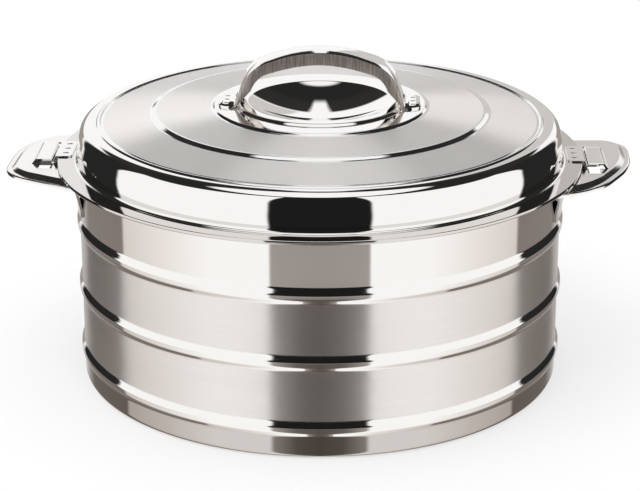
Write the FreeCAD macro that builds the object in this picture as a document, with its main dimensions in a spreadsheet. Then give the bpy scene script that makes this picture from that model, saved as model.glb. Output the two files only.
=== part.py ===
import FreeCAD, Part
import Sketcher
import math
import os
import re

# Insulated chapati casserole: a double-walled steel pot with a foam core, a double-walled
# lift-off lid, and a twist lock whose tongues turn into pockets pressed in the side handles.
# Millimetres. Origin at the centre of the foot's standing ring, +Z up, handles along X.
# Each value here is one driving dimension of the sheet "Sizes".
SIZES = {
    # pot wall and foot
    "wall_radius": 130.0,
    "shell_sheet": 0.8,
    "shell_top": 118.2,
    "foot_corner": 3.0,
    "foot_ring_width": 9.0,
    "foot_lip_height": 3.0,
    "foot_lip_width": 9.0,
    # round beads pressed out of the wall
    "first_bead": 16.1,
    "bead_pitch": 35.7,
    "bead_half_height": 3.6,
    "bead_rise": 1.6,
    # food bowl and rim
    "bowl_radius": 116.0,
    "bowl_sheet": 0.8,
    "bowl_floor": 16.0,
    "bowl_corner": 14.0,
    "rim_overhang": 9.0,
    "rim_hem_short": 0.2,
    # closing disc of the foot and its filling plug
    "base_sheet": 0.8,
    "base_gap": 0.5,
    "base_dish": 1.0,
    "base_dish_radius": 88.0,
    "plug_radius": 7.0,
    "plug_head": 9.5,
    "plug_head_height": 1.2,
    # lid flange and dome
    "lid_sheet": 0.7,
    "flange_overhang": 2.0,
    "lid_edge_drop": 0.4,
    "lid_edge_width": 1.1,
    "dome_over_wall": 0.5,
    "dome_foot_round": 2.0,
    "dome_side": 9.3,
    "shoulder_round": 10.5,
    # rings stepped up towards the centre of the lid
    "edge_bead_width": 2.7,
    "edge_bead_rise": 0.7,
    "outer_ring_rise": 4.4,
    "outer_ring_inner": 90.5,
    "middle_ring_outer": 88.5,
    "middle_ring_step": 1.0,
    "middle_ring_rise": 1.7,
    "centre_ring_outer": 56.4,
    "centre_ring_gap": 1.0,
    "centre_ring_step": 1.1,
    # finger bowl under the strap
    "crest_outer": 45.0,
    "crest_inner": 38.5,
    "crest_rise": 1.2,
    "finger_bowl_depth": 8.0,
    # lid lining, its plug and the foam
    "lining_gap": 1.7,
    "lining_depth": 8.0,
    "lining_corner": 5.0,
    "lining_sheet": 0.7,
    "lining_edge_gap": 0.3,
    "lining_plug_radius": 6.0,
    "lining_plug_head": 8.5,
    "lining_plug_height": 1.2,
    "foam_gap": 0.3,
    "foam_crest_gap": 6.0,
    # strap handle of the lid
    "strap_half_span": 45.4,
    "strap_shoulder": 23.0,
    "strap_rise": 29.6,
    "strap_sheet": 1.4,
    "strap_width": 26.0,
    "strap_waist": 18.0,
    "strap_foot_reach": 54.0,
    "strap_foot_bend": 0.6,
    "strap_foot_corner": 6.0,
    # lock tongue of the lid
    "tab_sheet": 0.8,
    "tab_half_width": 13.5,
    "tab_weld": 8.2,
    "tab_clear": 0.2,
    "tab_joggle": 1.0,
    "tab_tongue": 9.3,
    "tab_corner": 3.0,
    "tab_drop": 2.5,
    # side handle: a pressed plate with a raised panel inside a lower shelf
    "handle_sheet": 1.0,
    "panel_height": 2.0,
    "panel_slope": 52.0,
    "handle_edge_height": 1.6,
    "handle_bury": 12.0,
    "tip_margin": 14.4,
    "shelf": 3.0,
    "handle_edge_round": 1.1,
    "panel_edge_round": 0.9,
    "handle_clearance": 0.2,
    # plan of the right handle, from its far side round the tip to its near side
    "right_far_root": 40.2,
    "right_far_tip": 42.3,
    "right_far_corner": 15.0,
    "right_near_tip": 1.5,
    "right_near_corner": 25.0,
    "right_flank_reach": 18.0,
    "right_near_flank": 42.5,
    "right_flank_corner": 22.0,
    "right_near_root": 57.5,
    # plan of the left handle, from its near side round the tip to its far side
    "left_near_root": 56.3,
    "left_near_tip": 28.0,
    "left_near_corner": 14.0,
    "left_tip_lean": 1.5,
    "left_far_tip": 14.0,
    "left_far_corner": 25.0,
    "left_flank_reach": 27.0,
    "left_far_flank": 38.0,
    "left_flank_corner": 18.0,
    "left_far_root": 51.0,
    # lock pocket pressed up from the handle's panel
    "pocket_setback": 2.5,
    "pocket_end_gap": 1.2,
    "pocket_bevel": 2.4,
    "pocket_mouth": 1.0,
    "pocket_stop_gap": 0.6,
    "pocket_gap": 0.6,
    "pocket_relief": 8.5,
    "slot_short": 3.6,
    # bracket between the wall and the handle
    "bracket_sheet": 1.2,
    "bracket_drop": 21.4,
    "bracket_weld_height": 4.0,
    "bracket_flare": 4.0,
    "bracket_ledge": 3.8,
    "bracket_sweep": 31.0,
    "bracket_skew": 1.5,
    "bracket_window": 13.0,
    "bracket_window_rail": 3.0,
}

document = FreeCAD.newDocument("Casserole")
sheet = document.addObject("Spreadsheet::Sheet", "Sizes")
for row, (alias, number) in enumerate(SIZES.items(), start=1):
    sheet.set(f"A{row}", alias)
    sheet.set(f"B{row}", str(number))
    sheet.setAlias(f"B{row}", alias)
document.recompute()

parts = []


def bound(text):
    """The expression with every size written as a cell of the sheet."""
    swap = lambda match: "Sizes." + match.group() if match.group() in SIZES else match.group()
    return re.sub(r"[a-z_]\w*", swap, str(text))


def size(text):
    """The number that an expression in the sheet's names comes to."""
    result = sheet.evalExpression(bound(text))
    return float(getattr(result, "Value", result))


def plane(body, role):
    return next(item for item in body.Origin.OriginFeatures if item.Role == role)


def new_body(label):
    body = document.addObject("PartDesign::Body", label)
    body.Label = label
    parts.append(body)
    return body


def new_sketch(body, name, role="XZ_Plane", lift=None):
    sketch = body.newObject("Sketcher::SketchObject", name)
    sketch.AttachmentSupport = [(plane(body, role), "")]
    sketch.MapMode = "FlatFace"
    if lift is not None:
        sketch.setExpression("AttachmentOffset.Base.z", bound(lift))
    return sketch


def arc_between(start, end, radius):
    """A counter-clockwise arc that bulges left of start-to-end where radius is positive."""
    chord = end - start
    half = chord.Length / 2
    side = FreeCAD.Vector(-chord.y, chord.x, 0).normalize()
    rise = abs(radius) - math.sqrt(max(radius * radius - half * half, 0.0))
    middle = (start + end) / 2 + side * math.copysign(rise, radius)
    if radius > 0:
        return Part.Arc(end, middle, start)
    return Part.Arc(start, middle, end)


def outline(sketch, corners):
    """A closed outline. A corner is (x, y) or (x, y, radius), each an expression, and a
    radius makes the edge that leaves the corner an arc, to its left where positive."""
    points = [FreeCAD.Vector(size(c[0]), size(c[1]), 0) for c in corners]
    count = len(corners)
    first = sketch.GeometryCount
    for index, corner in enumerate(corners):
        start, end = points[index], points[(index + 1) % count]
        if len(corner) > 2:
            sketch.addGeometry(arc_between(start, end, size(corner[2])), False)
        else:
            sketch.addGeometry(Part.LineSegment(start, end), False)
    heads = []
    tails = []
    for index in range(count):
        curve = sketch.Geometry[first + index]
        flipped = (curve.StartPoint - points[index]).Length > 1e-6
        heads.append(2 if flipped else 1)
        tails.append(1 if flipped else 2)
    for index, corner in enumerate(corners):
        edge = first + index
        following = first + (index + 1) % count
        sketch.addConstraint(
            Sketcher.Constraint("Coincident", edge, tails[index], following, heads[(index + 1) % count])
        )
        for kind, text, value in (
            ("DistanceX", corner[0], points[index].x),
            ("DistanceY", corner[1], points[index].y),
        ):
            number = sketch.addConstraint(Sketcher.Constraint(kind, -1, 1, edge, heads[index], value))
            sketch.setExpression(f"Constraints[{number}]", bound(text))
        if len(corner) > 2:
            radius = abs(size(corner[2]))
            number = sketch.addConstraint(Sketcher.Constraint("Radius", edge, radius))
            sketch.setExpression(f"Constraints[{number}]", bound(f"abs({corner[2]})"))
    return sketch


def rounded_outline(sketch, corners, radii, depth):
    """A clockwise straight-sided outline whose listed corners are rounded, each less depth."""
    outline(sketch, corners)
    for index, radius in radii.items():
        text = f"{radius} - {depth}"
        sketch.fillet(index - 1, 2, size(text), True, True)
        arc = max(n for n, g in enumerate(sketch.Geometry) if isinstance(g, Part.ArcOfCircle))
        number = sketch.addConstraint(Sketcher.Constraint("Radius", arc, size(text)))
        sketch.setExpression(f"Constraints[{number}]", bound(text))
    return sketch


def revolve(body, name, corners, sweep=None):
    """Turns an outline of (radius, height) corners about the pot's axis."""
    sketch = outline(new_sketch(body, name + "_profile"), corners)
    turned = body.newObject("PartDesign::Revolution", name)
    turned.Profile = sketch
    turned.ReferenceAxis = (sketch, ["V_Axis"])
    if sweep is None:
        turned.Angle = 360.0
    else:
        turned.Midplane = True
        turned.setExpression("Angle", bound(sweep))
    body.Tip = turned
    document.recompute()
    return turned


def pad(body, sketch, name, length, midplane=False, taper=None):
    block = body.newObject("PartDesign::Pad", name)
    block.Profile = sketch
    block.setExpression("Length", bound(length))
    block.Midplane = midplane
    if taper is not None:
        block.setExpression("TaperAngle", bound(taper))
    body.Tip = block
    document.recompute()
    return block


def pocket(body, sketch, name, length=None, midplane=False, reverse=False):
    """A cut that stops the build if it takes nothing away."""
    before = body.Shape.Volume
    cut = body.newObject("PartDesign::Pocket", name)
    cut.Profile = sketch
    cut.Midplane = midplane
    cut.Reversed = reverse
    if length is None:
        cut.Type = 1
    else:
        cut.setExpression("Length", bound(length))
    body.Tip = cut
    document.recompute()
    if not body.Shape.Volume < before:
        raise RuntimeError(f"{body.Label}: {name} cuts nothing")
    return cut


def fillet(body, base, name, edges, radius):
    rounded = body.newObject("PartDesign::Fillet", name)
    rounded.Base = (base, edges)
    rounded.setExpression("Radius", bound(radius))
    body.Tip = rounded
    document.recompute()
    return rounded


def edges_where(feature, test):
    """Names of the feature's edges for which test(edge) holds."""
    return [f"Edge{n}" for n, edge in enumerate(feature.Shape.Edges, start=1) if test(edge)]


def round_level_edges(body, base, name, level, radius):
    """Rounds the edges that lie level at one height."""
    height = size(level)
    flat = edges_where(base, lambda edge: all(abs(v.Z - height) < 1e-4 for v in edge.Vertexes))
    return fillet(body, base, name, flat, radius)


def add_circle(sketch, radius):
    ring = Part.Circle(FreeCAD.Vector(), FreeCAD.Vector(0, 0, 1), size(radius))
    index = sketch.addGeometry(ring, False)
    sketch.addConstraint(Sketcher.Constraint("Coincident", index, 3, -1, 1))
    number = sketch.addConstraint(Sketcher.Constraint("Radius", index, size(radius)))
    sketch.setExpression(f"Constraints[{number}]", bound(radius))


def turned(angle):
    """A placement turned about the pot's axis."""
    return FreeCAD.Placement(FreeCAD.Vector(), FreeCAD.Rotation(FreeCAD.Vector(0, 0, 1), angle))


# Heights and radii that several pieces share, as expressions in the sheet's names.
FOOT_RING_INNER = "(wall_radius - foot_ring_width)"
FOOT_LIP_INNER = f"({FOOT_RING_INNER} - foot_lip_width)"
RIM_RADIUS = "(wall_radius + rim_overhang)"
RIM_TOP = "(shell_top + bowl_sheet)"
LID_RADIUS = f"({RIM_RADIUS} + flange_overhang)"
LID_FLANGE_TOP = f"({RIM_TOP} + lining_sheet + lid_sheet)"
LINING_RADIUS = "(bowl_radius - bowl_sheet - lining_gap)"
LINING_FLOOR = f"({RIM_TOP} - lining_depth)"
DOME_RADIUS = "(wall_radius + dome_over_wall)"
DOME_SIDE_TOP = f"({LID_FLANGE_TOP} + dome_side)"
SHOULDER_RADIUS = f"({DOME_RADIUS} - shoulder_round)"
SHOULDER_TOP = f"({DOME_SIDE_TOP} + shoulder_round)"
OUTER_RING_OUTER = f"({SHOULDER_RADIUS} - edge_bead_width)"
OUTER_RING_TOP = f"({SHOULDER_TOP} + outer_ring_rise)"
MIDDLE_RING_LOW = f"({OUTER_RING_TOP} + middle_ring_step)"
MIDDLE_RING_HIGH = f"({MIDDLE_RING_LOW} + middle_ring_rise)"
CENTRE_RING_TOP = f"({MIDDLE_RING_HIGH} + centre_ring_step)"
CREST_TOP = f"({CENTRE_RING_TOP} + crest_rise)"
BOWL_SPAN = "(finger_bowl_depth + crest_rise)"
FINGER_BOWL_RADIUS = f"((crest_inner ^ 2 + {BOWL_SPAN} ^ 2) / (2 * {BOWL_SPAN}))"
BEAD_RADIUS = "((bead_half_height ^ 2 + bead_rise ^ 2) / (2 * bead_rise))"
EDGE_BEAD_RADIUS = "(((edge_bead_width / 2) ^ 2 + edge_bead_rise ^ 2) / (2 * edge_bead_rise))"
PANEL_TOP = "(shell_top - shell_sheet)"
SHELF_TOP = f"({PANEL_TOP} - panel_height)"
TAB_TOP = f"({LID_FLANGE_TOP} + tab_sheet)"
TONGUE_TOP = f"({TAB_TOP} - tab_drop)"
TAB_BEND = f"({LID_RADIUS} + tab_clear)"
TAB_REACH = f"({TAB_BEND} + tab_tongue)"
POCKET_TOP = f"({TONGUE_TOP} + pocket_gap + handle_sheet)"
POCKET_INNER = f"({LID_RADIUS} + pocket_setback)"
POCKET_OUTER = f"({TAB_REACH} + pocket_end_gap)"
POCKET_FOOT = f"({POCKET_OUTER} + pocket_bevel)"
POCKET_NEAR = "(-1 * (tab_half_width + pocket_mouth))"
HANDLE_ROOT = "(wall_radius - handle_bury)"
HANDLE_TIP = f"({POCKET_FOOT} + tip_margin)"
BEADS = 3


def outer_shell():
    """Wall with round beads, turned in under the foot and out under the rim."""
    body = new_body("outer_shell")
    inner = "(wall_radius - shell_sheet)"
    corners = [
        (FOOT_RING_INNER, "0"),
        ("wall_radius - foot_corner", "0", "-foot_corner"),
        ("wall_radius", "foot_corner"),
    ]
    for index in range(BEADS):
        middle = f"(first_bead + {index} * bead_pitch)"
        corners.append(("wall_radius", f"{middle} - bead_half_height", f"-{BEAD_RADIUS}"))
        corners.append(("wall_radius", f"{middle} + bead_half_height"))
    corners += [
        ("wall_radius", "shell_top - shell_sheet"),
        (f"{RIM_RADIUS} - bowl_sheet", "shell_top - shell_sheet"),
        (f"{RIM_RADIUS} - bowl_sheet", "shell_top"),
        (inner, "shell_top"),
    ]
    for index in reversed(range(BEADS)):
        middle = f"(first_bead + {index} * bead_pitch)"
        corners.append((inner, f"{middle} + bead_half_height", BEAD_RADIUS))
        corners.append((inner, f"{middle} - bead_half_height"))
    corners += [
        (inner, "foot_corner", "foot_corner - shell_sheet"),
        ("wall_radius - foot_corner", "shell_sheet"),
        (f"{FOOT_RING_INNER} + shell_sheet", "shell_sheet"),
        (f"{FOOT_RING_INNER} + shell_sheet", "foot_lip_height + shell_sheet"),
        (FOOT_LIP_INNER, "foot_lip_height + shell_sheet"),
        (FOOT_LIP_INNER, "foot_lip_height"),
        (FOOT_RING_INNER, "foot_lip_height"),
    ]
    revolve(body, "shell_wall", corners)


def inner_bowl():
    """Food bowl whose flange is hemmed over the shell's flange."""
    body = new_body("inner_bowl")
    inner = "(bowl_radius - bowl_sheet)"
    bottom = "(bowl_floor - bowl_sheet)"
    hem_low = "(shell_top - shell_sheet + rim_hem_short)"
    revolve(
        body,
        "bowl_wall",
        [
            ("0", bottom),
            ("bowl_radius - bowl_corner", bottom, "-bowl_corner"),
            ("bowl_radius", f"{bottom} + bowl_corner"),
            ("bowl_radius", f"{RIM_TOP} - bowl_sheet"),
            (f"{RIM_RADIUS} - bowl_sheet", f"{RIM_TOP} - bowl_sheet"),
            (f"{RIM_RADIUS} - bowl_sheet", hem_low),
            (RIM_RADIUS, hem_low),
            (RIM_RADIUS, f"{RIM_TOP} - bowl_sheet", "-bowl_sheet"),
            (f"{RIM_RADIUS} - bowl_sheet", RIM_TOP),
            (f"{inner} + bowl_sheet", RIM_TOP, "bowl_sheet"),
            (inner, f"{RIM_TOP} - bowl_sheet"),
            (inner, f"{bottom} + bowl_corner", "bowl_corner - bowl_sheet"),
            ("bowl_radius - bowl_corner", "bowl_floor"),
            ("0", "bowl_floor"),
        ],
    )


def body_insulation():
    """Foam between the two walls, down to the dish of the closing disc."""
    body = new_body("body_insulation")
    inner = "(wall_radius - shell_sheet)"
    bottom = "(bowl_floor - bowl_sheet)"
    low = "(foot_lip_height + shell_sheet)"
    over_disc = "(foot_lip_height + base_dish)"
    revolve(
        body,
        "foam_wall",
        [
            ("0", over_disc),
            (FOOT_LIP_INNER, over_disc),
            (FOOT_LIP_INNER, low),
            ("wall_radius - foot_corner", low),
            (inner, low),
            (inner, "shell_top"),
            ("bowl_radius", "shell_top"),
            ("bowl_radius", f"{bottom} + bowl_corner", "bowl_corner"),
            ("bowl_radius - bowl_corner", bottom),
            ("0", bottom),
        ],
    )


def base_plate():
    """Closing disc that sits under the foot's inner lip, with a shallow dish and the filling hole."""
    body = new_body("base_plate")
    top = "foot_lip_height"
    low = "(foot_lip_height - base_sheet)"
    slope = "(base_dish_radius - base_dish)"
    rim = f"({FOOT_RING_INNER} - base_gap)"
    revolve(
        body,
        "base_disc",
        [
            ("plug_radius", f"{low} + base_dish"),
            (slope, f"{low} + base_dish"),
            ("base_dish_radius", low),
            (rim, low),
            (rim, top),
            ("base_dish_radius", top),
            (slope, f"{top} + base_dish"),
            ("plug_radius", f"{top} + base_dish"),
        ],
    )


def base_plug():
    """Press-in plug that closes the foam's filling hole."""
    body = new_body("base_plug")
    seat = "(foot_lip_height - base_sheet + base_dish)"
    revolve(
        body,
        "plug_turned",
        [
            ("0", f"{seat} - plug_head_height"),
            ("plug_head - plug_head_height / 2", f"{seat} - plug_head_height"),
            ("plug_head", f"{seat} - plug_head_height / 2"),
            ("plug_head", seat),
            ("plug_radius", seat),
            ("plug_radius", "foot_lip_height + base_dish"),
            ("0", "foot_lip_height + base_dish"),
        ],
    )


def lid_shell():
    """Drawn lid: rolled flange edge, dome, three brushed and polished rings, finger bowl."""
    body = new_body("lid_shell")
    under = "lid_sheet"
    roll = "(lid_edge_width / 2)"
    edge_low = f"({RIM_TOP} - lid_edge_drop)"
    flange_low = f"({LID_FLANGE_TOP} - lid_sheet)"
    inner_roll = f"({LID_RADIUS} - lid_edge_width)"
    side_inner = f"({DOME_RADIUS} - lid_sheet)"
    outer_round = "(dome_foot_round + lid_sheet)"
    revolve(
        body,
        "lid_drawn",
        [
            ("0", f"{CENTRE_RING_TOP} - finger_bowl_depth - {under}", f"-({FINGER_BOWL_RADIUS} + {under})"),
            (f"crest_inner - {under}", f"{CREST_TOP} - {under}"),
            (f"crest_outer - 2 * {under}", f"{CENTRE_RING_TOP} - {under}"),
            ("centre_ring_outer", f"{CENTRE_RING_TOP} - {under}"),
            ("centre_ring_outer + centre_ring_gap", f"{MIDDLE_RING_HIGH} - {under}"),
            ("middle_ring_outer", f"{MIDDLE_RING_LOW} - {under}"),
            ("outer_ring_inner", f"{OUTER_RING_TOP} - {under}"),
            (OUTER_RING_OUTER, f"{SHOULDER_TOP} - {under}"),
            (SHOULDER_RADIUS, f"{SHOULDER_TOP} - {under}", f"shoulder_round - {under}"),
            (side_inner, DOME_SIDE_TOP),
            (side_inner, f"{flange_low} + {outer_round}", f"-{outer_round}"),
            (f"{side_inner} + {outer_round}", flange_low),
            (inner_roll, flange_low),
            (inner_roll, f"{edge_low} + {roll}", f"-{roll}"),
            (LID_RADIUS, f"{edge_low} + {roll}"),
            (LID_RADIUS, f"{LID_FLANGE_TOP} - {roll}", f"-{roll}"),
            (f"{LID_RADIUS} - {roll}", LID_FLANGE_TOP),
            (f"{DOME_RADIUS} + dome_foot_round", LID_FLANGE_TOP, "dome_foot_round"),
            (DOME_RADIUS, f"{LID_FLANGE_TOP} + dome_foot_round"),
            (DOME_RADIUS, DOME_SIDE_TOP, "-shoulder_round"),
            (SHOULDER_RADIUS, SHOULDER_TOP, f"-{EDGE_BEAD_RADIUS}"),
            (OUTER_RING_OUTER, SHOULDER_TOP),
            ("outer_ring_inner", OUTER_RING_TOP),
            ("middle_ring_outer", MIDDLE_RING_LOW),
            ("centre_ring_outer + centre_ring_gap", MIDDLE_RING_HIGH),
            ("centre_ring_outer", CENTRE_RING_TOP),
            ("crest_outer", CENTRE_RING_TOP),
            ("crest_inner", CREST_TOP, FINGER_BOWL_RADIUS),
            ("0", f"{CENTRE_RING_TOP} - finger_bowl_depth"),
        ],
    )


def lid_lining():
    """Inner pan of the lid: dips into the bowl, its flange lies on the rim."""
    body = new_body("lid_lining")
    top = f"({LINING_FLOOR} + lining_sheet)"
    inner = f"({LINING_RADIUS} - lining_sheet)"
    edge = f"({LID_RADIUS} - lid_edge_width - lining_edge_gap)"
    revolve(
        body,
        "lining_drawn",
        [
            ("lining_plug_radius", LINING_FLOOR),
            (f"{LINING_RADIUS} - lining_corner", LINING_FLOOR, "-lining_corner"),
            (LINING_RADIUS, f"{LINING_FLOOR} + lining_corner"),
            (LINING_RADIUS, RIM_TOP),
            (edge, RIM_TOP),
            (edge, f"{RIM_TOP} + lining_sheet"),
            (inner, f"{RIM_TOP} + lining_sheet"),
            (inner, f"{LINING_FLOOR} + lining_corner", "lining_corner - lining_sheet"),
            (f"{LINING_RADIUS} - lining_corner", top),
            ("lining_plug_radius", top),
        ],
    )


def lid_plug():
    """Plug in the hole through which the lid is filled with foam."""
    body = new_body("lid_plug")
    low = f"({LINING_FLOOR} - lining_plug_height)"
    revolve(
        body,
        "lid_plug_turned",
        [
            ("0", low),
            ("lining_plug_head - lining_plug_height / 2", low),
            ("lining_plug_head", f"{low} + lining_plug_height / 2"),
            ("lining_plug_head", LINING_FLOOR),
            ("lining_plug_radius", LINING_FLOOR),
            ("lining_plug_radius", f"{LINING_FLOOR} + lining_sheet"),
            ("0", f"{LINING_FLOOR} + lining_sheet"),
        ],
    )


def lid_insulation():
    """Foam core of the lid, seated on the lining's floor and just clear of both sheets."""
    body = new_body("lid_insulation")
    seat = f"({LINING_FLOOR} + lining_sheet)"
    drop = "(lid_sheet + foam_gap)"
    neck = f"({LINING_RADIUS} - lining_sheet - foam_gap)"
    ledge = f"({RIM_TOP} + lining_sheet + foam_gap)"
    side = f"({DOME_RADIUS} - lid_sheet - foam_gap)"
    hollow = f"({FINGER_BOWL_RADIUS} + {drop})"
    reach = "(crest_inner - foam_crest_gap)"
    low = f"({CENTRE_RING_TOP} - finger_bowl_depth)"
    revolve(
        body,
        "lid_foam",
        [
            ("0", seat),
            (f"{LINING_RADIUS} - lining_corner", seat),
            (neck, f"{seat} + lining_corner"),
            (neck, ledge),
            (side, ledge),
            (side, DOME_SIDE_TOP, f"-(shoulder_round - {drop})"),
            (SHOULDER_RADIUS, f"{SHOULDER_TOP} - {drop}"),
            (OUTER_RING_OUTER, f"{SHOULDER_TOP} - {drop}"),
            ("outer_ring_inner", f"{OUTER_RING_TOP} - {drop}"),
            ("middle_ring_outer", f"{MIDDLE_RING_LOW} - {drop}"),
            ("centre_ring_outer + centre_ring_gap", f"{MIDDLE_RING_HIGH} - {drop}"),
            ("crest_outer", f"{MIDDLE_RING_HIGH} - {drop}"),
            (reach, f"{low} + {FINGER_BOWL_RADIUS} - sqrt({hollow} ^ 2 - {reach} ^ 2)", hollow),
            ("0", f"{low} - {drop}"),
        ],
    )


def lid_handle():
    """Arched strap with two welded feet, narrowed at its middle."""
    body = new_body("lid_handle")
    base = CENTRE_RING_TOP
    top = f"({base} + strap_sheet)"
    centre_x = "(strap_half_span - strap_shoulder)"
    centre_z = f"({top} + strap_foot_bend)"
    strap_top = f"({base} + strap_rise)"
    rise = f"({strap_top} - {centre_z})"
    crown = (
        f"(({centre_x} ^ 2 + {rise} ^ 2 - strap_shoulder ^ 2) / (2 * ({rise} - strap_shoulder)))"
    )
    crown_z = f"({strap_top} - {crown})"
    share_x = f"({centre_x} / ({crown} - strap_shoulder))"
    share_z = f"(({centre_z} - {crown_z}) / ({crown} - strap_shoulder))"
    leg_inner = "(strap_half_span - strap_sheet)"
    bend_outer = "(strap_foot_bend + strap_sheet)"
    inner_crown = f"({crown} - strap_sheet)"
    inner_shoulder = "(strap_shoulder - strap_sheet)"
    outer_x, outer_z = f"({crown} * {share_x})", f"({crown_z} + {crown} * {share_z})"
    inner_x, inner_z = f"({inner_crown} * {share_x})", f"({crown_z} + {inner_crown} * {share_z})"
    foot_x = "(strap_half_span + strap_foot_bend)"
    strip = outline(
        new_sketch(body, "strap_side"),
        [
            ("strap_foot_reach", base),
            ("strap_foot_reach", top),
            (foot_x, top, "strap_foot_bend"),
            ("strap_half_span", centre_z, "-strap_shoulder"),
            (outer_x, outer_z, f"-{crown}"),
            (f"-{outer_x}", outer_z, "-strap_shoulder"),
            ("-strap_half_span", centre_z, "strap_foot_bend"),
            (f"-{foot_x}", top),
            ("-strap_foot_reach", top),
            ("-strap_foot_reach", base),
            (f"-{foot_x}", base, f"-{bend_outer}"),
            (f"-{leg_inner}", centre_z, inner_shoulder),
            (f"-{inner_x}", inner_z, inner_crown),
            (inner_x, inner_z, inner_shoulder),
            (leg_inner, centre_z, f"-{bend_outer}"),
            (foot_x, base),
        ],
    )
    strap = pad(body, strip, "strap_strip", "strap_width", midplane=True)
    half = "(strap_width / 2)"
    narrowing = "((strap_width - strap_waist) / 2)"
    bow = f"((strap_half_span ^ 2 + {narrowing} ^ 2) / (2 * {narrowing}))"
    waist = new_sketch(body, "strap_waist_plan", "XY_Plane")
    outline(
        waist,
        [
            ("-strap_half_span", f"{half} + strap_sheet"),
            ("-strap_half_span", half, f"-{bow}"),
            ("strap_half_span", half),
            ("strap_half_span", f"{half} + strap_sheet"),
        ],
    )
    outline(
        waist,
        [
            ("-strap_half_span", f"-{half} - strap_sheet"),
            ("-strap_half_span", f"-{half}", bow),
            ("strap_half_span", f"-{half}"),
            ("strap_half_span", f"-{half} - strap_sheet"),
        ],
    )
    waisted = pocket(body, waist, "strap_waist_cut", reverse=True)
    reach = size("strap_foot_reach")
    corners = edges_where(
        waisted,
        lambda edge: all(abs(abs(v.X) - reach) < 0.01 for v in edge.Vertexes)
        and abs(edge.Vertexes[0].Z - edge.Vertexes[-1].Z) > 0.1,
    )
    fillet(body, waisted, "strap_foot_corners", corners, "strap_foot_corner")


def lock_tab(side, turn):
    """Tongue welded on the lid's flange, stepped down to slide under the handle's pocket."""
    body = new_body(f"lock_tab_{side}")
    low = LID_FLANGE_TOP
    weld_end = f"({LID_RADIUS} - tab_weld)"
    slope = "sqrt(tab_joggle ^ 2 + tab_drop ^ 2)"
    shift = f"(tab_sheet * ({slope} - tab_joggle) / tab_drop)"
    strip = outline(
        new_sketch(body, f"tab_side_{side}"),
        [
            (weld_end, low),
            (TAB_BEND, low),
            (f"{TAB_BEND} + tab_joggle", f"{low} - tab_drop"),
            (TAB_REACH, f"{low} - tab_drop"),
            (TAB_REACH, TONGUE_TOP),
            (f"{TAB_BEND} + tab_joggle + {shift}", TONGUE_TOP),
            (f"{TAB_BEND} + {shift}", TAB_TOP),
            (weld_end, TAB_TOP),
        ],
    )
    strap = pad(body, strip, f"tab_strip_{side}", "2 * tab_half_width", midplane=True)
    ends = (size(weld_end), size(TAB_REACH))
    corners = edges_where(
        strap,
        lambda edge: abs(edge.Vertexes[0].Z - edge.Vertexes[-1].Z) > 0.1
        and any(all(abs(v.X - end) < 0.01 for v in edge.Vertexes) for end in ends),
    )
    fillet(body, strap, f"tab_corners_{side}", corners, "tab_corner")
    body.Placement = turned(turn)


def inset(corners, depth):
    """A clockwise straight-sided outline moved in by depth, as expressions."""
    moved = []
    count = len(corners)
    for index, (x, y) in enumerate(corners):
        before = corners[index - 1]
        after = corners[(index + 1) % count]
        sides = []
        for (x1, y1), (x2, y2) in ((before, (x, y)), ((x, y), after)):
            run, climb = f"(({x2}) - ({x1}))", f"(({y2}) - ({y1}))"
            reach = f"sqrt({run} ^ 2 + {climb} ^ 2)"
            sides.append((f"({climb} / {reach})", f"(-1 * {run} / {reach})"))
        (ax, ay), (bx, by) = sides
        share = f"({depth} / (1 + {ax} * {bx} + {ay} * {by}))"
        moved.append((f"({x}) + {share} * ({ax} + {bx})", f"({y}) + {share} * ({ay} + {by})"))
    return moved


RIGHT_PLAN = [
    (HANDLE_ROOT, "right_far_root"),
    (HANDLE_TIP, "right_far_tip"),
    (HANDLE_TIP, "-1 * right_near_tip"),
    ("wall_radius + right_flank_reach", "-1 * right_near_flank"),
    (HANDLE_ROOT, "-1 * right_near_root"),
]
RIGHT_CORNERS = {1: "right_far_corner", 2: "right_near_corner", 3: "right_flank_corner"}
LEFT_PLAN = [
    (HANDLE_ROOT, "left_near_root"),
    (HANDLE_TIP, "left_near_tip"),
    (f"{HANDLE_TIP} - left_tip_lean", "-1 * left_far_tip"),
    ("wall_radius + left_flank_reach", "-1 * left_far_flank"),
    (HANDLE_ROOT, "-1 * left_far_root"),
]
LEFT_CORNERS = {1: "left_near_corner", 2: "left_far_corner", 3: "left_flank_corner"}


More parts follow.
